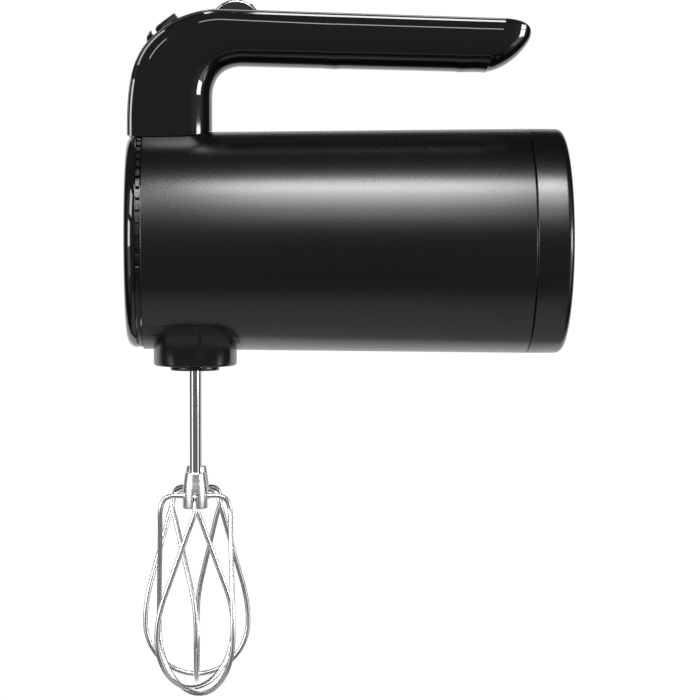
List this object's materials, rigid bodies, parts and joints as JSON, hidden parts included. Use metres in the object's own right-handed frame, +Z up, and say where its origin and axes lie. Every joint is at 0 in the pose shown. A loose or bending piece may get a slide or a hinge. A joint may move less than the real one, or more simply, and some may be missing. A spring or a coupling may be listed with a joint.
{
  "type": "hand mixer",
  "caption": "Cordless hand mixer: a round barrel with a flat heel, an open-ended handle above it, and balloon whisks that plug in under its nose.",
  "frame": {"origin": "centre of the flat heel face at the rear of the barrel, on the barrel axis", "axes": "-X along the barrel axis towards the nose, +Z up towards the handle with the whisks hanging down along -Z, +Y to the right hand side"},
  "size_m": [0.195, 0.101, 0.3093],
  "materials": {
    "satin_black": "fine-grained satin lacquer",
    "gloss_black": "high gloss moulded",
    "soft_black": "semi-gloss moulded",
    "polished_steel": "polished stainless steel",
    "plain_steel": "plain",
    "bronze": "sintered",
    "natural_nylon": "moulded",
    "grey_nylon": "moulded",
    "ferrite": "sintered ceramic",
    "copper": "enamelled wire",
    "board_green": "solder resist",
    "cell_sleeve": "heat-shrink sleeve"
  },
  "bodies": {
    "housing": {"barrel_shell": "satin_black", "rear_cap": "satin_black", "front_cap": "gloss_black", "vent_ring": "soft_black", "chin_cover": "soft_black", "handle_shell": "gloss_black", "handle_cover": "gloss_black", "handle_screw_front": "plain_steel", "handle_screw_rear": "plain_steel", "speed_board": "board_green", "gear_frame": "natural_nylon", "left_lower_bush": "bronze", "left_upper_bush": "bronze", "right_lower_bush": "bronze", "right_upper_bush": "bronze", "worm_bearing": "bronze", "eject_spring": "plain_steel", "motor_can": "plain_steel", "upper_motor_screw": "plain_steel", "lower_motor_screw": "plain_steel", "upper_magnet": "ferrite", "lower_magnet": "ferrite", "motor_end_cap": "grey_nylon", "motor_bearing": "bronze", "cell_1": "cell_sleeve", "cell_2": "cell_sleeve", "cell_3": "cell_sleeve", "cell_4": "cell_sleeve", "front_cell_holder": "grey_nylon", "rear_cell_holder": "grey_nylon", "power_board": "board_green", "charge_socket": "plain_steel", "wheel_axle": "plain_steel"},
    "rotor": {"motor_shaft": "polished_steel", "worm": "plain_steel", "rotor_core": "plain_steel", "front_winding": "copper", "rear_winding": "copper", "commutator": "copper", "cooling_fan": "grey_nylon"},
    "left_drive": {"left_spindle": "plain_steel", "left_worm_wheel": "natural_nylon", "left_socket_collar": "soft_black"},
    "right_drive": {"right_spindle": "plain_steel", "right_worm_wheel": "natural_nylon", "right_socket_collar": "soft_black"},
    "left_whisk": {"left_whisk_shaft": "polished_steel", "left_whisk_hub": "polished_steel", "left_outer_loop": "polished_steel", "left_inner_loop": "polished_steel"},
    "right_whisk": {"right_whisk_shaft": "polished_steel", "right_whisk_hub": "polished_steel", "right_outer_loop": "polished_steel", "right_inner_loop": "polished_steel"},
    "speed_dial": {"speed_wheel": "soft_black", "left_wheel_ring": "polished_steel", "right_wheel_ring": "polished_steel"},
    "eject_key": {"eject_button": "gloss_black"},
    "ejector": {"ejector_fork": "grey_nylon"},
    "turbo_key": {"turbo_button": "gloss_black"}
  },
  "joints": [
    {"name": "left_spin", "type": "hinge", "parent": "housing", "child": "left_drive", "pos_m": [-0.1647, -0.018, 0], "axis": [0, 0, 1], "continuous": true},
    {"name": "right_spin", "type": "hinge", "parent": "housing", "child": "right_drive", "pos_m": [-0.1647, 0.018, 0], "axis": [0, 0, 1], "continuous": true},
    {"name": "rotor_spin", "type": "hinge", "parent": "housing", "child": "rotor", "pos_m": [-0.12, 0, 0], "axis": [1, 0, 0], "continuous": true},
    {"name": "left_whisk_slide", "type": "slide", "parent": "left_drive", "child": "left_whisk", "axis": [0, 0, -1], "range_m": [0, 0.032]},
    {"name": "right_whisk_slide", "type": "slide", "parent": "right_drive", "child": "right_whisk", "axis": [0, 0, -1], "range_m": [0, 0.032]},
    {"name": "speed_turn", "type": "hinge", "parent": "housing", "child": "speed_dial", "pos_m": [-0.1463, 0, 0.0954], "axis": [0, 1, 0], "range_deg": [-120, 0]},
    {"name": "eject_press", "type": "slide", "parent": "housing", "child": "eject_key", "axis": [0.5665, 0, -0.8241], "range_m": [0, 0.006], "stiffness_N_per_m": 600, "springref_m": -0.004},
    {"name": "ejector_slide", "type": "slide", "parent": "housing", "child": "ejector", "axis": [0, 0, -1], "range_m": [0, 0.00494]},
    {"name": "turbo_press", "type": "slide", "parent": "housing", "child": "turbo_key", "axis": [0.7117, 0, -0.7025], "range_m": [0, 0.0015], "stiffness_N_per_m": 900, "springref_m": -0.002}
  ],
  "couplings": [
    {"joint": "right_spin", "follows": "left_spin", "ratio": -1},
    {"joint": "rotor_spin", "follows": "left_spin", "ratio": 10},
    {"joint": "ejector_slide", "follows": "eject_press", "ratio": 0.82405}
  ]
}
